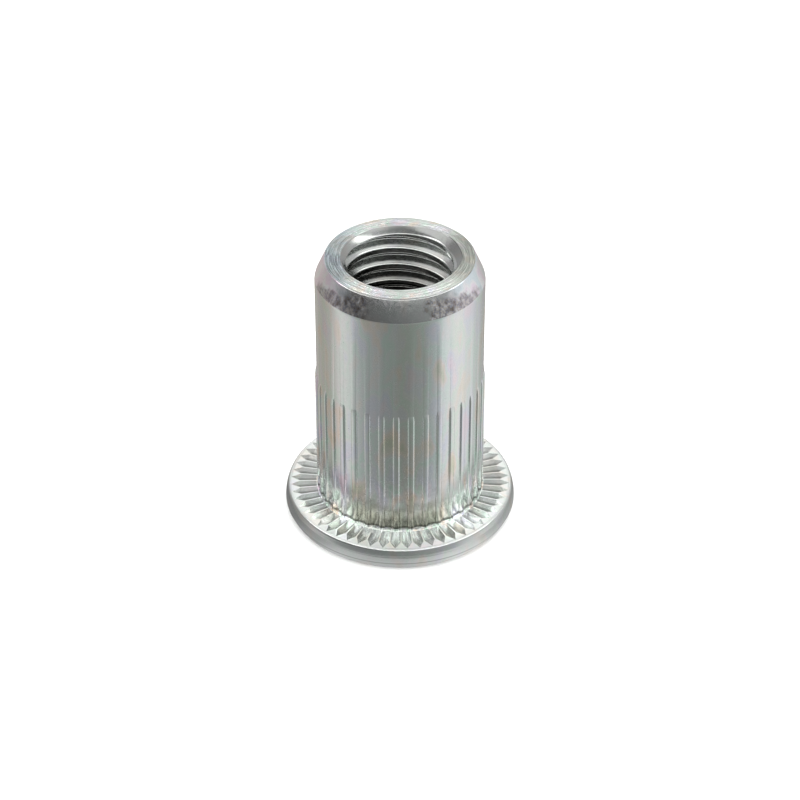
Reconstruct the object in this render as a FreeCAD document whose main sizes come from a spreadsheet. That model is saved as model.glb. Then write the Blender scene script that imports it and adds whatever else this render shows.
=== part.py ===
import FreeCAD, Part
import os

import Sketcher

# Rivet nut for an M8 screw: flat flange with pressed serrations, ribbed shank, threaded tip
# Lengths are in millimetres
# The origin is the centre of the flange's outer face, and +Z runs up the shank to the tip

SIZES = (
    # Shank and tip
    ("overall_length", 19.5),
    ("body_diameter", 11.0),
    ("tip_bevel_width", 0.64),
    ("tip_bevel_length", 1.48),
    # Flange, whose side bulges from the face down to the belly line and is turned under below it
    ("flange_diameter", 15.5),
    ("flange_thickness", 1.6),
    ("face_inset", 0.21),
    ("underside_inset", 0.29),
    ("belly_height", 0.6),
    # Low collar where the shank meets the flange
    ("collar_rise", 0.08),
    ("collar_height", 0.18),
    # Bore, from the flange side: mouth chamfer, thin-walled crush zone, thread, countersink
    ("mouth_chamfer", 0.4),
    ("crush_bore_diameter", 8.5),
    ("thread_diameter", 8.0),
    ("thread_pitch", 1.25),
    ("thread_bore_diameter", 6.8),
    ("thread_length", 8.5),
    ("thread_start_depth", 0.09),
    ("tip_countersink_width", 0.4),
    # Ribs along the crush zone
    ("rib_count", 36),
    ("rib_width", 0.43),
    ("rib_rise", 0.11),
    ("rib_length", 8.9),
    ("rib_end_radius", 0.8),
    ("rib_root", 0.2),
    # Radial grooves pressed in the flange's face
    ("serration_count", 56),
    ("serration_depth", 0.26),
    ("serration_land", 0.08),
    ("serration_root_gap", 0.05),
    ("serration_rim_gap", 0.14),
    ("serration_run_out", 0.6),
    ("serration_overcut", 0.1),
)

BODY_RADIUS = "sizes.body_diameter / 2"
FLANGE_RADIUS = "sizes.flange_diameter / 2"
FACE_RADIUS = FLANGE_RADIUS + " - sizes.face_inset"
CRUSH_RADIUS = "sizes.crush_bore_diameter / 2"
TIP_RADIUS = BODY_RADIUS + " - sizes.tip_bevel_width"

THREAD_RADIUS = "sizes.thread_diameter / 2"
CREST_RADIUS = "sizes.thread_bore_diameter / 2"
THREAD_END = "sizes.overall_length - sizes.thread_length"


def origin_item(body, role):
    return next(item for item in body.Origin.OriginFeatures if item.Role == role)


def add_sketch(body, name, plane, distance=None):
    """Add a sketch on one of the body's origin planes, or at a distance in front of it."""
    sketch = body.newObject("Sketcher::SketchObject", name)
    sketch.AttachmentSupport = [(origin_item(body, plane), "")]
    sketch.MapMode = "FlatFace"
    if distance:
        sketch.setExpression("AttachmentOffset.Base.z", distance)
    return sketch


def value(owner, formula):
    return float(owner.evalExpression(formula))


def hold(sketch, kind, ends, name, formula):
    """Add a named dimension and bind it to a formula of the sheet's sizes."""
    sketch.addConstraint(Sketcher.Constraint(kind, *ends, value(sketch, formula)))
    last = sketch.ConstraintCount - 1
    sketch.renameConstraint(last, name)
    sketch.setExpression("Constraints." + name, formula)


def hold_point(sketch, edge, point, name, across, up):
    """Hold a point at its distances from the origin, where None means on the axis."""
    if across is None:
        sketch.addConstraint(Sketcher.Constraint("PointOnObject", edge, point, -2))
    else:
        hold(sketch, "DistanceX", (-1, 1, edge, point), name + "_across", across)
    if up is None:
        sketch.addConstraint(Sketcher.Constraint("PointOnObject", edge, point, -1))
    else:
        hold(sketch, "DistanceY", (-1, 1, edge, point), name + "_up", up)


def place(sketch, across, up):
    """Give the sketch position that two formulas stand for."""
    right = value(sketch, across) if across else 0.0
    high = value(sketch, up) if up else 0.0
    return FreeCAD.Vector(right, high, 0)


def bulge(start, end, level):
    """Arc from start to end, counter-clockwise, whose centre lies at the given height."""
    start_rise = start.y - level
    end_rise = end.y - level
    spread = start.x ** 2 - end.x ** 2 + start_rise ** 2 - end_rise ** 2
    centre = FreeCAD.Vector(spread / (2 * (start.x - end.x)), level, 0)
    circle = Part.Circle(centre, FreeCAD.Vector(0, 0, 1), centre.distanceToPoint(start))
    return Part.ArcOfCircle(circle, circle.parameter(start), circle.parameter(end))


def draw_profile(sketch, corners):
    """Draw a closed outline, counter-clockwise, and hold each corner by its two formulas.

    A corner is its name, its distance across, its height, and the height of the centre of the
    arc that leaves it, or None where a straight edge leaves it.
    """
    spots = [place(sketch, across, up) for name, across, up, level in corners]
    for index, (name, across, up, level) in enumerate(corners):
        start = spots[index]
        end = spots[(index + 1) % len(spots)]
        if level is None:
            edge = sketch.addGeometry(Part.LineSegment(start, end))
        else:
            edge = sketch.addGeometry(bulge(start, end, value(sketch, level)))
        if index:
            sketch.addConstraint(Sketcher.Constraint("Coincident", edge - 1, 2, edge, 1))
    sketch.addConstraint(Sketcher.Constraint("Coincident", edge, 2, 0, 1))
    for index, (name, across, up, level) in enumerate(corners):
        hold_point(sketch, index, 1, name, across, up)
        if level is not None:
            hold(sketch, "DistanceY", (-1, 1, index, 3), name + "_centre_up", level)


def draw_notch(sketch, width, top, bottom):
    """Draw a V whose open top is level and whose point is on the middle line."""
    half = value(sketch, width) / 2
    left = FreeCAD.Vector(-half, value(sketch, top), 0)
    right = FreeCAD.Vector(half, value(sketch, top), 0)
    point = FreeCAD.Vector(0, value(sketch, bottom), 0)
    for start, end in ((left, point), (point, right), (right, left)):
        sketch.addGeometry(Part.LineSegment(start, end))
    for edge, following in ((0, 1), (1, 2), (2, 0)):
        sketch.addConstraint(Sketcher.Constraint("Coincident", edge, 2, following, 1))
    sketch.addConstraint(Sketcher.Constraint("Symmetric", 0, 1, 1, 2, -2))
    sketch.addConstraint(Sketcher.Constraint("PointOnObject", 0, 2, -2))
    hold(sketch, "DistanceX", (0, 1, 1, 2), "width", width)
    hold(sketch, "DistanceY", (-1, 1, 0, 1), "top_up", top)
    hold(sketch, "DistanceY", (-1, 1, 0, 2), "bottom_up", bottom)


def repeat(body, name, feature, count):
    """Copy a feature round the shank's axis."""
    pattern = body.newObject("PartDesign::PolarPattern", name)
    pattern.Originals = [feature]
    pattern.Axis = (origin_item(body, "Z_Axis"), [""])
    pattern.Angle = 360
    pattern.setExpression("Occurrences", count)
    body.Tip = pattern
    return pattern


def turn_blank(body):
    """Turn the plain nut: flange, collar, shank, tip bevel and the stepped bore."""
    collar_radius = BODY_RADIUS + " + sizes.collar_rise"
    collar_top = "sizes.flange_thickness + sizes.collar_height"
    sketch = add_sketch(body, "section", "XZ_Plane")
    draw_profile(sketch, (
        ("mouth", CRUSH_RADIUS + " + sizes.mouth_chamfer", None, None),
        ("underside", FLANGE_RADIUS + " - sizes.underside_inset", None, None),
        ("belly", FLANGE_RADIUS, "sizes.belly_height", "sizes.belly_height"),
        ("face", FACE_RADIUS, "sizes.flange_thickness", None),
        ("collar_foot", collar_radius, "sizes.flange_thickness", None),
        ("collar_top", collar_radius, collar_top, None),
        ("shank_foot", BODY_RADIUS, collar_top, None),
        ("shank_top", BODY_RADIUS, "sizes.overall_length - sizes.tip_bevel_length", None),
        ("tip", TIP_RADIUS, "sizes.overall_length", None),
        ("countersink", CREST_RADIUS + " + sizes.tip_countersink_width", "sizes.overall_length", None),
        ("bore_top", CREST_RADIUS, "sizes.overall_length - sizes.tip_countersink_width", None),
        ("bore_end", CREST_RADIUS, THREAD_END, None),
        ("crush_top", CRUSH_RADIUS, THREAD_END + " - (" + CRUSH_RADIUS + ") + " + CREST_RADIUS, None),
        ("mouth_top", CRUSH_RADIUS, "sizes.mouth_chamfer", None),
    ))
    blank = body.newObject("PartDesign::Revolution", "blank")
    blank.Profile = sketch
    blank.ReferenceAxis = (sketch, ["V_Axis"])
    blank.Angle = 360
    return blank


def cut_thread(body):
    """Cut the right-hand thread from the crush bore up past the tip, a groove with 60 degree flanks."""
    sketch = add_sketch(body, "thread_groove", "XZ_Plane")
    turns = "(ceil(sizes.thread_length / sizes.thread_pitch) + 1)"
    inner = CREST_RADIUS + " - sizes.thread_pitch / 16"
    middle = "(sizes.overall_length - sizes.thread_start_depth - " + turns + " * sizes.thread_pitch)"
    root_half = "sizes.thread_pitch / 16"
    inner_half = "(" + root_half + " + (" + THREAD_RADIUS + " - (" + inner + ")) / sqrt(3))"
    draw_profile(sketch, (
        ("inner_low", inner, middle + " - " + inner_half, None),
        ("root_low", THREAD_RADIUS, middle + " - " + root_half, None),
        ("root_high", THREAD_RADIUS, middle + " + " + root_half, None),
        ("inner_high", inner, middle + " + " + inner_half, None),
    ))
    thread = body.newObject("PartDesign::SubtractiveHelix", "thread")
    thread.Profile = sketch
    thread.ReferenceAxis = (sketch, ["V_Axis"])
    thread.Mode = "pitch-height-angle"
    thread.setExpression("Pitch", "sizes.thread_pitch")
    thread.setExpression("Height", "(" + turns + " + 1) * sizes.thread_pitch")
    return thread


def raise_ribs(body):
    """Raise the ribs from the flange up the shank, each with a rounded upper end."""
    sketch = add_sketch(body, "rib_side", "XZ_Plane")
    root = BODY_RADIUS + " - sizes.rib_root"
    crest = BODY_RADIUS + " + sizes.rib_rise"
    foot = "sizes.flange_thickness - sizes.rib_root"
    bend = "sizes.flange_thickness + sizes.rib_length"
    drop = "(sizes.rib_end_radius - sizes.rib_rise - sizes.rib_root)"
    end = bend + " + sqrt(sizes.rib_end_radius ^ 2 - " + drop + " ^ 2)"
    draw_profile(sketch, (
        ("foot_inside", root, foot, None),
        ("foot_outside", crest, foot, None),
        ("bend", crest, bend, bend),
        ("end", root, end, None),
    ))
    rib = body.newObject("PartDesign::Revolution", "rib")
    rib.Profile = sketch
    rib.ReferenceAxis = (sketch, ["V_Axis"])
    rib.Midplane = True
    rib.setExpression("Angle", "sizes.rib_width / (" + BODY_RADIUS + ") * 180 / pi")
    return repeat(body, "ribs", rib, "sizes.rib_count")


def press_serrations(body):
    """Press the V grooves in the flange's face: even lands between them, pointed outer ends."""
    inner = BODY_RADIUS + " + sizes.rib_rise + sizes.serration_root_gap"
    outer = FACE_RADIUS + " - sizes.serration_rim_gap"
    knee = outer + " - sizes.serration_run_out"
    climb = "(sizes.serration_depth + sizes.serration_overcut) / sizes.serration_depth"
    spread = "(1 + sizes.serration_overcut / sizes.serration_depth)"
    top = "sizes.flange_thickness + sizes.serration_overcut"
    bottom = "sizes.flange_thickness - sizes.serration_depth"
    sections = []
    for name, distance in (("serration_inner", inner), ("serration_knee", knee)):
        sketch = add_sketch(body, name, "YZ_Plane", distance)
        pitch = "2 * pi * (" + distance + ") / sizes.serration_count"
        draw_notch(sketch, "(" + pitch + " - sizes.serration_land) * " + spread, top, bottom)
        sections.append(sketch)
    point = add_sketch(body, "serration_point", "YZ_Plane",
                       knee + " + sizes.serration_run_out * " + climb)
    point.addGeometry(Part.Point(FreeCAD.Vector(0, value(point, top), 0)))
    hold_point(point, 0, 1, "point", None, top)
    groove = body.newObject("PartDesign::SubtractiveLoft", "serration")
    groove.Profile = sections[0]
    groove.Sections = [(sections[1], [""]), (point, ["Vertex1"])]
    groove.Ruled = True
    return repeat(body, "serrations", groove, "sizes.serration_count")


def check(document, bodies):
    """Stop if any object failed, or if a body has no valid solid."""
    for item in document.Objects:
        if "Invalid" in item.State or "Error" in item.State:
            raise RuntimeError(item.Name + " failed: " + ", ".join(item.State))
    for body in bodies:
        if body.Shape.isNull() or not body.Shape.isValid() or len(body.Shape.Solids) != 1:
            raise RuntimeError(body.Label + " is not one valid solid")


document = FreeCAD.newDocument("rivet_nut_model")
sheet = document.addObject("Spreadsheet::Sheet", "sizes")
for row, (name, size) in enumerate(SIZES, start=1):
    sheet.set("A%d" % row, name)
    sheet.set("B%d" % row, str(size))
    sheet.setAlias("B%d" % row, name)
document.recompute()

nut = document.addObject("PartDesign::Body", "nut")
nut.Label = "rivet_nut"
for make in (turn_blank, cut_thread, raise_ribs, press_serrations):
    make(nut)
    document.recompute()

check(document, [nut])
os.makedirs("parts", exist_ok=True)
nut.Shape.exportStep("parts/%s.step" % nut.Label)
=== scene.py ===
import math

import bpy
from mathutils import Euler, Matrix, Vector


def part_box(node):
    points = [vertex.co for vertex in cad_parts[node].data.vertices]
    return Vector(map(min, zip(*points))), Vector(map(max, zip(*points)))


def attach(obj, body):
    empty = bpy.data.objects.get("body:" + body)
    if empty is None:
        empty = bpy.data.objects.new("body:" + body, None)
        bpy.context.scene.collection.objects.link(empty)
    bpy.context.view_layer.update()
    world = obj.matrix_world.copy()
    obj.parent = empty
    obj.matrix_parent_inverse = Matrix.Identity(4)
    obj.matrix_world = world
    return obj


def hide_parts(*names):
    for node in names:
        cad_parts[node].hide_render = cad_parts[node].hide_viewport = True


# Rivet nut in zinc-plated steel, standing on its flange. It is modelled in millimetres and brought
# to metres when it is whole

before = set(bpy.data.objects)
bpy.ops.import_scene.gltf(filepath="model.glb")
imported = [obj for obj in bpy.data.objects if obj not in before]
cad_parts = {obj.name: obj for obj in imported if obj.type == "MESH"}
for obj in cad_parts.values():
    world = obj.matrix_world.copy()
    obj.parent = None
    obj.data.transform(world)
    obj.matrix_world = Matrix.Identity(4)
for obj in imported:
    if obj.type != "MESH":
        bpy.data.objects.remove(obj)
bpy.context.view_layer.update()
node_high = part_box("rivet_nut")[1]

MM = 0.001
FLANGE_RADIUS = node_high.x / MM
HEIGHT = node_high.z / MM

# Shank and tip
SHANK_RADIUS = 5.5
BEVEL_WIDTH = 0.64
BEVEL_LENGTH = 1.48
TIP_RADIUS = SHANK_RADIUS - BEVEL_WIDTH
BEVEL_FOOT = HEIGHT - BEVEL_LENGTH

# Flange, with its belly line and the low collar on its face
FLANGE_THICKNESS = 1.6
FACE_INSET = 0.21
UNDERSIDE_INSET = 0.29
BELLY_HEIGHT = 0.6
COLLAR_RISE = 0.08
COLLAR_HEIGHT = 0.18
FACE_RADIUS = FLANGE_RADIUS - FACE_INSET
UNDERSIDE_RADIUS = FLANGE_RADIUS - UNDERSIDE_INSET
COLLAR_RADIUS = SHANK_RADIUS + COLLAR_RISE
COLLAR_TOP = FLANGE_THICKNESS + COLLAR_HEIGHT

# Bore, from the mouth in the flange up to the countersink in the tip
CRUSH_RADIUS = 4.25
MOUTH_CHAMFER = 0.4
THREAD_RADIUS = 4.0
CREST_RADIUS = 3.4
THREAD_LENGTH = 8.5
THREAD_END = HEIGHT - THREAD_LENGTH
COUNTERSINK = 0.4

# Thread, and the coil that cuts it
PITCH = 1.25
THREAD_START_DEPTH = 0.09
THREAD_TURNS = 9
COIL_HALF_HEIGHT = 0.6
COIL_BACK = 0.1
COIL_SHY = 0.006

# How far back from a corner its rounding starts
UNDERSIDE_ROUNDING = 0.16
FACE_ROUNDING = 0.09
COLLAR_ROUNDING = 0.04
BEVEL_ROUNDING = 0.12
TIP_ROUNDING = 0.09
BORE_ROUNDING = 0.05
MOUTH_ROUNDING = 0.04
CREST_ROUNDING = 0.1
ROOT_ROUNDING = 0.03
RIB_SHOULDER = 0.06

# Ribs
RIB_COUNT = 36
RIB_FOOT_WIDTH = 0.66
RIB_TOP_WIDTH = 0.34
RIB_RISE = 0.11
RIB_SINK = 0.2
RIB_LENGTH = 8.66
RIB_END_RADIUS = 2.0
RIB_CREST = SHANK_RADIUS + RIB_RISE
RIB_ROOT = SHANK_RADIUS - RIB_SINK
RIB_FOOT = FLANGE_THICKNESS - RIB_SINK
RIB_BEND = FLANGE_THICKNESS + RIB_LENGTH

# Pressed grooves in the flange's face
GROOVE_COUNT = 56
GROOVE_DEPTH = 0.26
GROOVE_OVERCUT = 0.02
GROOVE_ROOT_GAP = 0.05
GROOVE_RIM_GAP = 0.14
GROOVE_RUN_OUT = 0.6
LAND_WIDTH = 0.08
GROOVE_INNER = RIB_CREST + GROOVE_ROOT_GAP
GROOVE_OUTER = FACE_RADIUS - GROOVE_RIM_GAP

# Mesh fineness and tolerances
COLUMNS = 252
THREAD_STEPS = 96
SIDE_STEPS = 6
ROUNDING_STEPS = 3
RIB_END_STEPS = 8
MERGE = 0.0005
NEAR = 0.002
SMOOTH_ANGLE = math.radians(28)


def use(piece):
    """Make a piece the only selected one, the CAD nodes included."""
    bpy.ops.object.select_all(action="DESELECT")
    piece.select_set(True)
    bpy.context.view_layer.objects.active = piece


def edit(piece, wanted, kind="VERT"):
    """Open a piece in edit mode with the vertices, edges or faces selected that a test picks."""
    use(piece)
    mesh = piece.data
    groups = {"VERT": mesh.vertices, "EDGE": mesh.edges, "FACE": mesh.polygons}
    for group in groups.values():
        group.foreach_set("select", [False] * len(group))
    for item in groups[kind]:
        item.select = bool(wanted(item))
    bpy.ops.object.mode_set(mode="EDIT")
    bpy.ops.mesh.select_mode(type=kind)


def edit_all(piece):
    """Open a piece in edit mode with all of it selected."""
    use(piece)
    bpy.ops.object.mode_set(mode="EDIT")
    bpy.ops.mesh.select_all(action="SELECT")


def leave_edit():
    """Go back to object mode."""
    bpy.ops.object.mode_set(mode="OBJECT")


def draw_outline(name, corners):
    """Draw a closed outline in the XZ plane by extruding one point from corner to corner, then round it.

    A corner is its distance across, its height and how far back from it the rounding starts.
    """
    bpy.ops.object.select_all(action="DESELECT")
    bpy.ops.mesh.primitive_plane_add(size=1.0)
    piece = bpy.context.active_object
    piece.name = name
    bpy.ops.object.mode_set(mode="EDIT")
    bpy.ops.mesh.select_mode(type="VERT")
    bpy.ops.mesh.merge(type="CENTER")
    spots = [Vector((across, 0.0, up)) for across, up, rounding in corners]
    bpy.ops.transform.translate(value=spots[0])
    for here, there in zip(spots, spots[1:] + spots[:1]):
        bpy.ops.mesh.extrude_region_move(TRANSFORM_OT_translate={"value": there - here})
    bpy.ops.mesh.select_all(action="SELECT")
    bpy.ops.mesh.remove_doubles(threshold=MERGE)
    leave_edit()
    for spot, (across, up, rounding) in zip(spots, corners):
        if rounding:
            edit(piece, lambda vertex: (vertex.co - spot).length < NEAR)
            bpy.ops.mesh.bevel(offset=rounding, segments=ROUNDING_STEPS, affect="VERTICES")
            leave_edit()
    return piece


def apply_modifier(piece, kind, **settings):
    """Add a modifier to a piece, set it and apply it."""
    use(piece)
    modifier = piece.modifiers.new(kind.lower(), kind)
    for name, value in settings.items():
        setattr(modifier, name, value)
    bpy.ops.object.modifier_apply(modifier=modifier.name)


def combine(piece, tool, operation):
    """Cut a tool out of a piece, or weld it on, and throw the tool away."""
    apply_modifier(piece, "BOOLEAN", operation=operation, object=tool, solver="EXACT")
    bpy.data.objects.remove(tool, do_unlink=True)


def copy_round(piece, count):
    """Copy a whole piece round the Z axis, in its own mesh."""
    edit_all(piece)
    bpy.ops.mesh.spin(
        steps=count - 1, dupli=True, angle=2 * math.pi * (count - 1) / count,
        center=(0, 0, 0), axis=(0, 0, 1))
    leave_edit()


def face_outwards(piece):
    """Merge a piece's doubles and turn its faces outwards."""
    edit_all(piece)
    bpy.ops.mesh.remove_doubles(threshold=MERGE)
    bpy.ops.mesh.normals_make_consistent(inside=False)
    leave_edit()


def turn_blank():
    """Turn the plain nut from its half section, with every corner broken as on the real one."""
    rise = FLANGE_THICKNESS - BELLY_HEIGHT
    side_radius = (rise * rise + FACE_INSET * FACE_INSET) / (2 * FACE_INSET)
    side_centre = FLANGE_RADIUS - side_radius
    climbs = [rise * part / SIDE_STEPS for part in range(1, SIDE_STEPS)]
    side = [(side_centre + math.sqrt(side_radius ** 2 - climb * climb), BELLY_HEIGHT + climb, 0.0)
            for climb in climbs]
    blank = draw_outline("nut", (
        (CRUSH_RADIUS + MOUTH_CHAMFER, 0.0, MOUTH_ROUNDING),
        (UNDERSIDE_RADIUS, 0.0, UNDERSIDE_ROUNDING),
        (FLANGE_RADIUS, BELLY_HEIGHT, 0.0),
        *side,
        (FACE_RADIUS, FLANGE_THICKNESS, FACE_ROUNDING),
        (COLLAR_RADIUS, FLANGE_THICKNESS, 0.0),
        (COLLAR_RADIUS, COLLAR_TOP, COLLAR_ROUNDING),
        (SHANK_RADIUS, COLLAR_TOP, 0.0),
        (SHANK_RADIUS, BEVEL_FOOT, BEVEL_ROUNDING),
        (TIP_RADIUS, HEIGHT, TIP_ROUNDING),
        (CREST_RADIUS + COUNTERSINK, HEIGHT, BORE_ROUNDING),
        (CREST_RADIUS, HEIGHT - COUNTERSINK, BORE_ROUNDING),
        (CREST_RADIUS, THREAD_END, BORE_ROUNDING),
        (CRUSH_RADIUS, THREAD_END - CRUSH_RADIUS + CREST_RADIUS, BORE_ROUNDING),
        (CRUSH_RADIUS, MOUTH_CHAMFER, MOUTH_ROUNDING),
    ))
    edit_all(blank)
    bpy.ops.mesh.spin(steps=COLUMNS, angle=2 * math.pi, center=(0, 0, 0), axis=(0, 0, 1))
    leave_edit()
    face_outwards(blank)
    return blank


def press_grooves(nut):
    """Press the radial V grooves in the flange's face, each with a pointed outer end."""
    climb = GROOVE_OVERCUT / GROOVE_DEPTH
    knee = GROOVE_OUTER - GROOVE_RUN_OUT
    top = FLANGE_THICKNESS + GROOVE_OVERCUT
    pitch = 2 * math.pi / GROOVE_COUNT
    width = (GROOVE_INNER * pitch - LAND_WIDTH) * (1 + climb)
    cutter = draw_outline("groove_cutter", (
        (-width / 2, top, 0.0),
        (0.0, FLANGE_THICKNESS - GROOVE_DEPTH, 0.0),
        (width / 2, top, 0.0),
    ))
    edit_all(cutter)
    bpy.ops.mesh.edge_face_add()
    bpy.ops.transform.translate(value=(0, -GROOVE_INNER, 0))
    bpy.ops.mesh.extrude_region_move(TRANSFORM_OT_translate={"value": (0, GROOVE_INNER - knee, 0)})
    widening = (knee * pitch - LAND_WIDTH) * (1 + climb) / width
    bpy.ops.transform.resize(value=(widening, 1, 1), center_override=(0, -knee, top))
    run_out = GROOVE_RUN_OUT * (1 + climb)
    bpy.ops.mesh.extrude_region_move(TRANSFORM_OT_translate={"value": (0, -run_out, 0)})
    bpy.ops.transform.resize(value=(0, 0, 0), center_override=(0, -knee - run_out, top))
    leave_edit()
    face_outwards(cutter)
    copy_round(cutter, GROOVE_COUNT)
    combine(nut, cutter, "DIFFERENCE")


def raise_ribs(nut):
    """Weld on the ribs, with round shoulders and an upper end that rolls into the shank."""
    rib = draw_outline("rib", (
        (-RIB_FOOT_WIDTH / 2, 0.0, 0.0),
        (RIB_FOOT_WIDTH / 2, 0.0, 0.0),
        (RIB_TOP_WIDTH / 2, RIB_CREST - RIB_ROOT, RIB_SHOULDER),
        (-RIB_TOP_WIDTH / 2, RIB_CREST - RIB_ROOT, RIB_SHOULDER),
    ))
    edit_all(rib)
    bpy.ops.mesh.edge_face_add()
    leave_edit()
    rib.matrix_world = Matrix.Translation((0, -RIB_ROOT, RIB_FOOT)) @ Matrix.Rotation(math.pi / 2, 4, "X")
    bpy.ops.object.transform_apply()
    edit_all(rib)
    bpy.ops.mesh.extrude_region_move(TRANSFORM_OT_translate={"value": (0, 0, RIB_BEND - RIB_FOOT)})
    middle = RIB_CREST - RIB_END_RADIUS
    roll = math.acos((RIB_ROOT - middle) / RIB_END_RADIUS)
    bpy.ops.mesh.spin(steps=RIB_END_STEPS, angle=roll, center=(0, -middle, RIB_BEND), axis=(1, 0, 0))
    leave_edit()
    face_outwards(rib)
    copy_round(rib, RIB_COUNT)
    combine(nut, rib, "UNION")


def cut_thread(nut):
    """Cut the right-hand thread with a coil whose shoulders leave round crests."""
    root = PITCH / 16
    flank = root + (THREAD_RADIUS - CREST_RADIUS) / math.sqrt(3)
    back = CREST_RADIUS - COIL_BACK
    shy = CREST_RADIUS - COIL_SHY
    start = HEIGHT - THREAD_START_DEPTH - THREAD_TURNS * PITCH
    coil = draw_outline("thread_coil", (
        (back, start - COIL_HALF_HEIGHT, 0.0),
        (shy, start - COIL_HALF_HEIGHT, 0.0),
        (shy, start - flank, CREST_ROUNDING),
        (THREAD_RADIUS, start - root, ROOT_ROUNDING),
        (THREAD_RADIUS, start + root, ROOT_ROUNDING),
        (shy, start + flank, CREST_ROUNDING),
        (shy, start + COIL_HALF_HEIGHT, 0.0),
        (back, start + COIL_HALF_HEIGHT, 0.0),
    ))
    apply_modifier(
        coil, "SCREW", axis="Z", angle=2 * math.pi, screw_offset=PITCH, iterations=THREAD_TURNS + 1,
        steps=THREAD_STEPS, render_steps=THREAD_STEPS, use_merge_vertices=True, merge_threshold=MERGE)
    edit_all(coil)
    bpy.ops.mesh.fill_holes(sides=0)
    leave_edit()
    face_outwards(coil)
    combine(nut, coil, "DIFFERENCE")


nut = turn_blank()
press_grooves(nut)
raise_ribs(nut)
cut_thread(nut)
use(nut)
nut.scale = (MM, MM, MM)
bpy.ops.object.transform_apply()
bpy.ops.object.shade_smooth_by_angle(angle=SMOOTH_ANGLE)
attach(nut, "root")
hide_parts("rivet_nut")


def node(tree, kind, *inputs, **settings):
    """Add a shader node, wire or set its inputs in order and hand back its first output."""
    made = tree.nodes.new("ShaderNode" + kind)
    for name, value in settings.items():
        setattr(made, name, value)
    for socket, value in zip(made.inputs, inputs):
        if isinstance(value, bpy.types.NodeSocket):
            tree.links.new(value, socket)
        elif value is not None:
            socket.default_value = value
    return made.outputs[0]


def sums(tree, operation, *inputs):
    """Work out one sum."""
    return node(tree, "Math", *inputs, operation=operation)


def times(tree, first, second):
    """Multiply two values."""
    return sums(tree, "MULTIPLY", first, second)


def split(tree, vector):
    """Take a vector apart into across, along and up."""
    return node(tree, "SeparateXYZ", vector).node.outputs


def scale_to(tree, value, start, stop):
    """Map a value from one range, a pair, to another and hold it there."""
    return node(tree, "MapRange", value, *start, *stop)


def step(tree, value, low, high):
    """Rise smoothly from 0 to 1 between two values."""
    return node(tree, "MapRange", value, low, high, 0.0, 1.0, interpolation_type="SMOOTHSTEP")


def ramp(tree, value, stops, interpolation="LINEAR"):
    """Colour a value by stops, each a place from 0 to 1 and a colour."""
    output = node(tree, "ValToRGB", value)
    elements = output.node.color_ramp.elements
    output.node.color_ramp.interpolation = interpolation
    while len(elements) < len(stops):
        elements.new(0.5)
    for element, (place, colour) in zip(elements, stops):
        element.position = place
        element.color = (*colour, 1.0)
    return output


def ring_ramp(tree, around, stops):
    """Colour an angle in radians by stops in degrees, from -180 to 180."""
    place = sums(tree, "MULTIPLY_ADD", around, 1 / (2 * math.pi), 0.5)
    return ramp(tree, place, [(angle / 360 + 0.5, colour) for angle, colour in stops], "EASE")


def blend(tree, factor, first, second):
    """Mix two colours."""
    output = node(tree, "Mix", data_type="RGBA")
    mixer = output.node
    for socket, value in ((mixer.inputs[0], factor), (mixer.inputs[6], first), (mixer.inputs[7], second)):
        if isinstance(value, bpy.types.NodeSocket):
            tree.links.new(value, socket)
        elif isinstance(value, tuple):
            socket.default_value = (*value, 1.0)
        else:
            socket.default_value = value
    return mixer.outputs[2]


# Camera at the photograph's angle, turned a little to the right of the nut's front
CAMERA_PITCH = math.radians(35.77)
CAMERA_TURN = math.radians(2.55)
CAMERA_BACK = 134.591 * MM
CAMERA_UP = 105.233 * MM
SENSOR_WIDTH = 36.0
FOCAL_LENGTH = 112.5

# Room that the plate mirrors, seen round the horizon from the camera's side, in degrees and brightness,
# below eye level and above it
LOW_WALLS = (
    (-180, (0.44, 0.41, 0.38)),
    (-152, (0.50, 0.47, 0.44)),
    (-125, (0.42, 0.40, 0.35)),
    (-104, (0.50, 0.48, 0.45)),
    (-86, (0.84, 0.80, 0.80)),
    (-70, (0.72, 0.74, 0.72)),
    (-58, (0.42, 0.44, 0.44)),
    (-40, (0.33, 0.34, 0.34)),
    (-15, (0.25, 0.27, 0.26)),
    (5, (0.235, 0.245, 0.225)),
    (30, (0.30, 0.32, 0.30)),
    (48, (0.42, 0.45, 0.46)),
    (62, (0.86, 0.87, 0.90)),
    (82, (0.98, 0.96, 0.93)),
    (104, (0.84, 0.86, 0.86)),
    (128, (0.62, 0.64, 0.63)),
    (150, (0.46, 0.45, 0.43)),
    (180, (0.44, 0.41, 0.38)),
)
HIGH_WALLS = (
    (-180, (0.55, 0.54, 0.53)),
    (-150, (0.50, 0.50, 0.50)),
    (-120, (0.34, 0.33, 0.33)),
    (-90, (0.32, 0.32, 0.33)),
    (-64, (0.20, 0.20, 0.20)),
    (-38, (0.20, 0.20, 0.20)),
    (-18, (0.24, 0.25, 0.25)),
    (5, (0.31, 0.32, 0.32)),
    (25, (0.40, 0.41, 0.41)),
    (45, (0.50, 0.51, 0.51)),
    (80, (0.74, 0.75, 0.76)),
    (110, (0.72, 0.72, 0.72)),
    (150, (0.55, 0.55, 0.55)),
    (180, (0.55, 0.54, 0.53)),
)
WALL_FOOT = (0.58, 0.59, 0.58)
DIM_CEILING = (0.56, 0.56, 0.55)
BRIGHT_CEILING = (1.1, 1.1, 1.08)
FRONT_BAND = (3.6, 3.6, 3.55)

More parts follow.
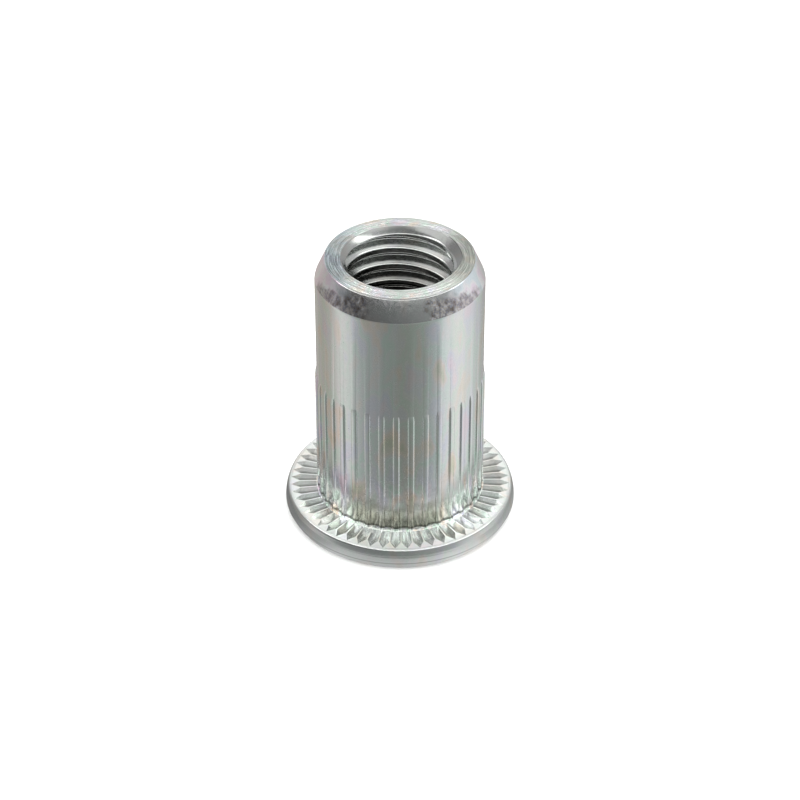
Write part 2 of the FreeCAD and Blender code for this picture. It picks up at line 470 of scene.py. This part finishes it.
# Where one part of the room gives way to the next, in degrees of height or of turn from the camera
WALLS_MEET = (-22.0, 8.0)
FOOT_HEIGHT = (-58.0, -80.0)
EAVES_TURN = (10.0, 110.0)
EAVES_HEIGHT = (64.0, 45.0)
EAVES_EDGE = (-4.0, 4.0)
WINDOW_TURN = (160.0, 172.0)
WINDOW_DROP = 55.0
BRIGHT_TURN = (15.0, 65.0)
BRIGHT_HEIGHT = (74.0, 80.0)
BAND_MIDDLE = 36.0
BAND_EDGE = (7.5, 5.0)
BAND_TURN = (120.0, 95.0)


def hang_room():
    """Soft studio surroundings: pale overhead and at both sides, greyer before and behind the nut."""
    world = bpy.data.worlds.new("studio")
    bpy.context.scene.world = world
    world.use_nodes = True
    tree = world.node_tree
    coordinates = tree.nodes.new("ShaderNodeTexCoord")
    turned = node(tree, "VectorRotate", coordinates.outputs["Generated"], rotation_type="Z_AXIS")
    turned.node.inputs["Angle"].default_value = -CAMERA_TURN
    x, y, z = split(tree, turned)
    around = sums(tree, "ARCTAN2", x, times(tree, y, -1.0))
    away = sums(tree, "ABSOLUTE", sums(tree, "DEGREES", around))
    height = sums(tree, "DEGREES", sums(tree, "ARCSINE", z))

    low = ring_ramp(tree, around, LOW_WALLS)
    high = ring_ramp(tree, around, HIGH_WALLS)
    walls = blend(tree, step(tree, height, *WALLS_MEET), low, high)
    walls = blend(tree, step(tree, height, *FOOT_HEIGHT), walls, WALL_FOOT)

    window = times(tree, step(tree, away, *WINDOW_TURN), WINDOW_DROP)
    eaves = sums(tree, "SUBTRACT", scale_to(tree, away, EAVES_TURN, EAVES_HEIGHT), window)
    ceiling = step(tree, sums(tree, "SUBTRACT", height, eaves), *EAVES_EDGE)
    bright = sums(tree, "MAXIMUM", step(tree, away, *BRIGHT_TURN), step(tree, height, *BRIGHT_HEIGHT))
    overhead = blend(tree, bright, DIM_CEILING, BRIGHT_CEILING)
    room = blend(tree, ceiling, walls, overhead)

    off_band = sums(tree, "ABSOLUTE", sums(tree, "SUBTRACT", height, BAND_MIDDLE))
    band = times(tree, step(tree, off_band, *BAND_EDGE), step(tree, away, *BAND_TURN))
    room = blend(tree, band, room, FRONT_BAND)
    tree.links.new(room, tree.nodes["Background"].inputs["Color"])


# Brightness of the paper close round the flange, by the angle round it in degrees
NEAR_FLOOR = (
    (-180, 0.3), (-100, 0.24), (-75, 0.26), (-50, 0.42), (-32, 0.62), (-10, 0.56), (3, 0.54),
    (18, 0.66), (33, 0.84), (48, 0.84), (64, 0.62), (80, 0.48), (110, 0.35), (180, 0.3))


def lay_paper(name, radius, height, shade):
    """Lay a round sheet of matt paper."""
    bpy.ops.object.select_all(action="DESELECT")
    bpy.ops.mesh.primitive_circle_add(
        vertices=128, radius=radius, fill_type="NGON", location=(0, 0, height))
    sheet = bpy.context.active_object
    sheet.name = name
    paint = bpy.data.materials.new(name)
    paint.use_nodes = True
    shader = paint.node_tree.nodes["Principled BSDF"]
    shader.inputs["Base Color"].default_value = (shade, shade, shade, 1)
    shader.inputs["Roughness"].default_value = 1.0
    shader.inputs["Specular IOR Level"].default_value = 0.0
    sheet.data.materials.append(paint)
    return sheet


def light_round(sheet, shades):
    """Make a sheet glow by the angle round the nut, where 0 is at its front."""
    tree = sheet.data.materials[0].node_tree
    shader = tree.nodes["Principled BSDF"]
    x, y, z = split(tree, tree.nodes.new("ShaderNodeTexCoord").outputs["Object"])
    around = sums(tree, "ARCTAN2", x, times(tree, y, -1.0))
    glow = ring_ramp(tree, around, [(angle, (shade, shade, shade)) for angle, shade in shades])
    tree.links.new(glow, shader.inputs["Emission Color"])
    shader.inputs["Emission Strength"].default_value = 1.0


def hang_lamp(name, place, size, power):
    """Hang a soft square lamp that lights the paper and leaves no glint on the metal."""
    lamp = bpy.data.lights.new(name, "AREA")
    lamp.size = size
    lamp.energy = power
    holder = bpy.data.objects.new(name, lamp)
    bpy.context.collection.objects.link(holder)
    holder.location = place
    holder.rotation_euler = (-Vector(place)).to_track_quat("-Z", "Y").to_euler()
    holder.visible_glossy = False
    holder.visible_camera = False


def stand_camera():
    """Stand the camera in front of the nut, looking down at it."""
    lens = bpy.data.cameras.new("camera")
    lens.sensor_width = SENSOR_WIDTH
    lens.lens = FOCAL_LENGTH
    lens.clip_start = 1 * MM
    lens.clip_end = 10.0
    camera = bpy.data.objects.new("camera", lens)
    bpy.context.collection.objects.link(camera)
    camera.location = (CAMERA_BACK * math.sin(CAMERA_TURN), -CAMERA_BACK * math.cos(CAMERA_TURN), CAMERA_UP)
    camera.rotation_euler = Euler((math.pi / 2 - CAMERA_PITCH, 0.0, CAMERA_TURN))
    bpy.context.scene.camera = camera


# Plate: its plain colour, and the colours of the passivate, of the bevel's blotches, which are partly stain
# and partly painted dark reflection, and of its painted highlight, each by a place in the noise that lays it
# out
PLAIN_ZINC = (0.73, 0.75, 0.74)
PASSIVATE = (
    (0.30, (0.64, 0.65, 0.52)),
    (0.38, (0.80, 0.70, 0.62)),
    (0.44, (0.73, 0.73, 0.72)),
    (0.50, (0.65, 0.77, 0.70)),
    (0.55, (0.74, 0.75, 0.74)),
    (0.61, (0.69, 0.71, 0.79)),
    (0.70, (0.79, 0.68, 0.75)),
)
BLOTCH_STAIN_AND_SHADE = (
    (0.34, (0.09, 0.08, 0.09)),
    (0.42, (0.24, 0.20, 0.16)),
    (0.48, (0.30, 0.32, 0.39)),
    (0.54, (0.52, 0.47, 0.40)),
    (0.60, (0.60, 0.60, 0.66)),
    (0.68, (0.76, 0.77, 0.76)),
)
BEVEL_HIGHLIGHT = (
    (0.40, (0.84, 0.92, 0.97)),
    (0.50, (0.97, 0.96, 0.98)),
    (0.58, (0.97, 0.86, 0.96)),
)
BEVEL_GREY = (0.3, 0.3, 0.3)
# Painted shade: olive at the shank's foot, a near black line in its corner, grey in the grooves, on the
# flange's side and in the bore; painted blue and olive reflections on the tip's ring
FOOT_SHADE_OLIVE = (0.28, 0.28, 0.225)
CREVICE_SHADOW = (0.07, 0.07, 0.06)
GROOVE_SHADE_GREY = (0.12, 0.12, 0.11)
SIDE_SHADE_GREY = (0.25, 0.245, 0.235)
RING_BLUE_REFLECTION = (0.40, 0.50, 0.55)
RING_OLIVE_REFLECTION = (0.50, 0.52, 0.46)
BORE_SHADE_GREY = (0.16, 0.155, 0.15)

# Blotches on the bevel, partly stain and partly painted dark reflection, which wander, start and stop at
# turns from the front and grow lower sideways, and the turns where the painted highlight above them starts
BLOTCH_WANDER = 22.0
BLOTCH_START = (20.0, 27.0)
BLOTCH_STOP = (78.0, 66.0)
BLOTCH_LOWERS = (25.0, 68.0)
BLOTCH_TOPS = (BEVEL_FOOT + 1.3, BEVEL_FOOT + 0.5)
BLOTCH_RAGGED = 1.2
BLOTCH_EDGE = (-0.15, 0.2)
BLOTCH_FADES = (30.0, 70.0)
BLOTCH_STRENGTH = (0.95, 0.7)
HIGHLIGHT_START = (32.0, 55.0)

# Painted olive shade at the shank's foot, which fades in a band over the collar, and a painted shadow line
# in its corner
FOOT_SHADE = (5.0, 2.6)
FOOT_TURN = (48.0, 24.0)
FOOT_RAGGED = (-0.5, 0.5)
SHADE_FADE_BAND = (1.8, 1.86)
CREVICE_SHADOW_FOOT = (COLLAR_TOP, COLLAR_TOP + 0.02)
CREVICE_SHADOW_TOP = (2.06, 1.88)

# Painted shade in the grooves, on the belly line, under the face's edge and in the bore, and painted
# reflection on the tip's ring
GROOVE_BOTTOM = (FLANGE_THICKNESS - 0.12, FLANGE_THICKNESS - 0.23)
GROOVE_TURN = (35.0, 65.0)
BELLY_LOW = (BELLY_HEIGHT - 0.12, BELLY_HEIGHT - 0.06)
BELLY_HIGH = (BELLY_HEIGHT + 0.06, BELLY_HEIGHT)
SIDE_HEIGHT = (0.7, 1.5)
RING_MEETS = (-1.0, 1.0)
RING_SIDES = (2.2, 3.8)
BORE_DEPTH = (HEIGHT - 0.6, HEIGHT - 4.5)
COUNTERSINK_FOOT = (HEIGHT - COUNTERSINK - 0.02, HEIGHT - COUNTERSINK + 0.04)

# Passivate is stronger on the ribs than above them, and turning lines start over this width
RIB_TOPS = (11.5, 9.5)
LINES_START = 0.14


def noise(tree, place, scale, detail, stretch=(1.0, 1.0, 1.0)):
    """Noise with so many waves in a millimetre, drawn out along an axis by a stretch below 1."""
    spread = node(tree, "Mapping", place)
    spread.node.inputs["Scale"].default_value = stretch
    output = node(tree, "TexNoise", spread)
    output.node.inputs["Scale"].default_value = scale
    output.node.inputs["Detail"].default_value = detail
    return output


def turn_aside(tree, x, y):
    """Angle round the nut in degrees, 0 at its front and back and 90 at both sides."""
    turn = sums(tree, "ABSOLUTE", sums(tree, "DEGREES", sums(tree, "ARCTAN2", x, y)))
    return sums(tree, "SUBTRACT", 90.0, sums(tree, "ABSOLUTE", sums(tree, "SUBTRACT", turn, 90.0)))


def stain_and_light_bevel(tree, place, colour):
    """Dark blotches low on the bevel, four of them round it, partly stain and partly painted dark
    reflection, with a painted violet highlight above them.
    """
    x, y, z = split(tree, place)
    ragged = sums(tree, "SUBTRACT", noise(tree, place, 1.8, 4.0), 0.5)
    turn = sums(tree, "MULTIPLY_ADD", ragged, BLOTCH_WANDER, turn_aside(tree, x, y))
    top = scale_to(tree, turn, BLOTCH_LOWERS, BLOTCH_TOPS)
    below = sums(tree, "MULTIPLY_ADD", ragged, BLOTCH_RAGGED, sums(tree, "SUBTRACT", top, z))
    stain_and_shade_patch = times(tree, step(tree, turn, *BLOTCH_START), step(tree, turn, *BLOTCH_STOP))
    stain_and_shade_patch = times(tree, stain_and_shade_patch, step(tree, below, *BLOTCH_EDGE))
    stain_and_shade_patch = times(tree, stain_and_shade_patch, scale_to(tree, turn, BLOTCH_FADES, BLOTCH_STRENGTH))
    speckle = noise(tree, place, 3.0, 8.0, (1.0, 1.0, 0.8))
    speckle.node.inputs["Roughness"].default_value = 0.7
    highlight = ramp(tree, noise(tree, place, 0.9, 2.0), BEVEL_HIGHLIGHT)
    colour = blend(tree, 0.72, colour, BEVEL_GREY)
    colour = blend(tree, step(tree, turn, *HIGHLIGHT_START), colour, highlight)
    return blend(tree, stain_and_shade_patch, colour, ramp(tree, speckle, BLOTCH_STAIN_AND_SHADE))


def paint_foot_shade(tree, place, colour):
    """Painted olive shade at the foot of the shank, above the bright collar, and a painted shadow line in
    its corner.
    """
    x, y, z = split(tree, place)
    ragged = scale_to(tree, noise(tree, place, 1.2, 3.0), (0.3, 0.7), FOOT_RAGGED)
    foot = step(tree, sums(tree, "ADD", z, ragged), *FOOT_SHADE)
    foot = times(tree, foot, step(tree, turn_aside(tree, x, y), *FOOT_TURN))
    foot = times(tree, foot, scale_to(tree, z, SHADE_FADE_BAND, (0.2, 1.0)))
    colour = blend(tree, times(tree, foot, 0.9), colour, FOOT_SHADE_OLIVE)
    # Painted shadow: a near black line in the corner over the collar
    crevice_shadow = times(tree, step(tree, z, *CREVICE_SHADOW_FOOT), step(tree, z, *CREVICE_SHADOW_TOP))
    return blend(tree, times(tree, crevice_shadow, 0.8), colour, CREVICE_SHADOW)


def paint_groove_shade(tree, place, colour):
    """Painted shade at the bottom of the pressed grooves, most at the sides."""
    x, y, z = split(tree, place)
    side_shade = scale_to(tree, turn_aside(tree, x, y), GROOVE_TURN, (0.12, 0.6))
    return blend(tree, times(tree, step(tree, z, *GROOVE_BOTTOM), side_shade), colour, GROOVE_SHADE_GREY)


def paint_edge_shade(tree, place, colour):
    """Painted shade on the flange's belly line and just under the edge of its face."""
    x, y, z = split(tree, place)
    belly = times(tree, step(tree, z, *BELLY_LOW), step(tree, z, *BELLY_HIGH))
    colour = blend(tree, times(tree, belly, 0.4), colour, SIDE_SHADE_GREY)
    return blend(tree, scale_to(tree, z, SIDE_HEIGHT, (0.0, 0.25)), colour, SIDE_SHADE_GREY)


def paint_ring_reflection(tree, place, colour):
    """Painted reflection, darker, on two sides of the tip's ring, bluish on one and olive on the other."""
    x, y, z = split(tree, place)
    side = blend(tree, step(tree, x, *RING_MEETS), RING_BLUE_REFLECTION, RING_OLIVE_REFLECTION)
    return blend(tree, scale_to(tree, sums(tree, "ABSOLUTE", x), RING_SIDES, (0.0, 0.62)), colour, side)


def paint_bore_shade(tree, place, colour):
    """Painted shade on the countersink and towards the bottom of the thread."""
    x, y, z = split(tree, place)
    depth = scale_to(tree, z, BORE_DEPTH, (0.1, 0.75))
    mouth = times(tree, step(tree, z, *COUNTERSINK_FOOT), 0.45)
    return blend(tree, sums(tree, "MAXIMUM", depth, mouth), colour, BORE_SHADE_GREY)


def zinc(name, roughness, tint, grain, turning=0.0, stain_and_light=None, turned_from=0.0, mirror=1.0):
    """Zinc plate with an iridescent passivate: mottled in colour, gloss and surface.

    Tint is how strongly the passivate colours it, and grain and turning are depths in millimetres.
    The turning lines are cut from a radius outwards. Mirror is the bright metal's share of the
    plate, and the rest is pale and matt.
    """
    material = bpy.data.materials.new(name)
    material.use_nodes = True
    tree = material.node_tree
    shader = tree.nodes["Principled BSDF"]
    coordinates = tree.nodes.new("ShaderNodeTexCoord")
    place = node(tree, "Mapping", coordinates.outputs["Object"])
    place.node.inputs["Scale"].default_value = (1 / MM, 1 / MM, 1 / MM)
    x, y, z = split(tree, place)

    clouds = noise(tree, place, 0.8, 2.0, (1.0, 1.0, 0.4))
    strength = scale_to(tree, noise(tree, place, 0.35, 2.0), (0.35, 0.65), (tint * 0.5, tint))
    strength = times(tree, strength, scale_to(tree, step(tree, z, *RIB_TOPS), (0.0, 1.0), (0.75, 1.0)))
    colour = blend(tree, strength, PLAIN_ZINC, ramp(tree, clouds, PASSIVATE))
    # The zone's own colouring adds its stains and its painted shade, highlights and reflections
    if stain_and_light:
        colour = stain_and_light(tree, place, colour)
    specks = noise(tree, place, 5.0, 3.0)
    rough = scale_to(tree, specks, (0.3, 0.7), (roughness - 0.04, roughness + 0.06))
    tree.links.new(colour, shader.inputs["Base Color"])
    tree.links.new(rough, shader.inputs["Roughness"])
    shader.inputs["Metallic"].default_value = mirror

    relief = tree.nodes.new("ShaderNodeBump")
    relief.inputs["Distance"].default_value = grain * MM
    tree.links.new(noise(tree, place, 5.0, 1.5), relief.inputs["Height"])
    if turning:
        radius = sums(tree, "SQRT", sums(tree, "MULTIPLY_ADD", x, x, times(tree, y, y)))
        lathe = node(tree, "CombineXYZ", radius, z, sums(tree, "ARCTAN2", y, x))
        lines = tree.nodes.new("ShaderNodeBump")
        lines.inputs["Distance"].default_value = turning * MM
        started = step(tree, radius, turned_from - LINES_START, turned_from)
        tree.links.new(started, lines.inputs["Strength"])
        tree.links.new(noise(tree, lathe, 7.0, 2.0, (1.0, 1.0, 0.12)), lines.inputs["Height"])
        tree.links.new(lines.outputs["Normal"], relief.inputs["Normal"])
    tree.links.new(relief.outputs["Normal"], shader.inputs["Normal"])
    return material


def plate(nut, material, wanted):
    """Give a material to the faces whose middles, in millimetres out from the axis and up, pass a test."""
    def picked(face):
        out = math.hypot(face.center.x, face.center.y)
        return wanted(out / MM, face.center.z / MM)

    use(nut)
    nut.data.materials.append(material)
    edit(nut, picked, "FACE")
    nut.active_material_index = len(nut.data.materials) - 1
    bpy.ops.object.material_slot_assign()
    leave_edit()


# Widths by which a plated zone stops short of its neighbour or runs past it
HAIR = 0.01
EDGE = 0.05

plate(nut, zinc("drawn_zinc", 0.22, 1.05, 0.002, stain_and_light=paint_foot_shade), lambda out, up: True)
plate(nut, zinc("tapped_zinc", 0.16, 0.4, 0.002, stain_and_light=paint_bore_shade), lambda out, up: out < CRUSH_RADIUS + HAIR)
plate(nut, zinc("bevel_zinc", 0.2, 0.6, 0.0004, stain_and_light=stain_and_light_bevel),
      lambda out, up: up > BEVEL_FOOT + EDGE and out > TIP_RADIUS - 2 * HAIR)
plate(nut, zinc("turned_zinc", 0.2, 1.3, 0.002, turning=0.32, stain_and_light=paint_ring_reflection),
      lambda out, up: up > HEIGHT - HAIR
      and CREST_RADIUS + COUNTERSINK - 2 * HAIR < out < TIP_RADIUS - 2 * HAIR)
plate(nut, zinc("pressed_zinc", 0.2, 0.3, 0.0003, stain_and_light=paint_groove_shade, mirror=0.85),
      lambda out, up: FLANGE_THICKNESS - GROOVE_DEPTH - HAIR < up < FLANGE_THICKNESS + HAIR
      and GROOVE_INNER - HAIR < out < FACE_RADIUS)
plate(nut, zinc("face_zinc", 0.14, 0.5, 0.002, turning=0.16, turned_from=GROOVE_OUTER, mirror=0.6),
      lambda out, up: up > FLANGE_THICKNESS - HAIR / 2 and COLLAR_RADIUS + EDGE < out < FACE_RADIUS - EDGE)
plate(nut, zinc("rim_zinc", 0.2, 0.5, 0.002, turning=0.014, stain_and_light=paint_edge_shade),
      lambda out, up: up < FLANGE_THICKNESS - EDGE and out > FACE_RADIUS - 2 * EDGE)

hang_room()
floor = lay_paper("floor", 2.0, 0.0, 0.95)
floor.visible_glossy = False
# A dark grey sheet under the nut, unseen by the camera but seen through the bore and in reflections: painted
# shade in place of the shaded floor there
bore_shade_sheet = lay_paper("bore_shade_sheet", 7 * MM, -0.02 * MM, 0.3)
bore_shade_sheet.visible_camera = False
near_floor = lay_paper("near_floor", 11 * MM, -0.04 * MM, 0.0)
near_floor.visible_camera = False
near_floor.visible_diffuse = False
near_floor.visible_shadow = False
light_round(near_floor, NEAR_FLOOR)
hang_lamp("high_right", (0.22, 0.16, 0.42), 0.30, 0.8)
hang_lamp("overhead", (-0.1, -0.15, 0.5), 0.6, 1.9)
stand_camera()
bpy.context.scene.view_settings.view_transform = "Standard"
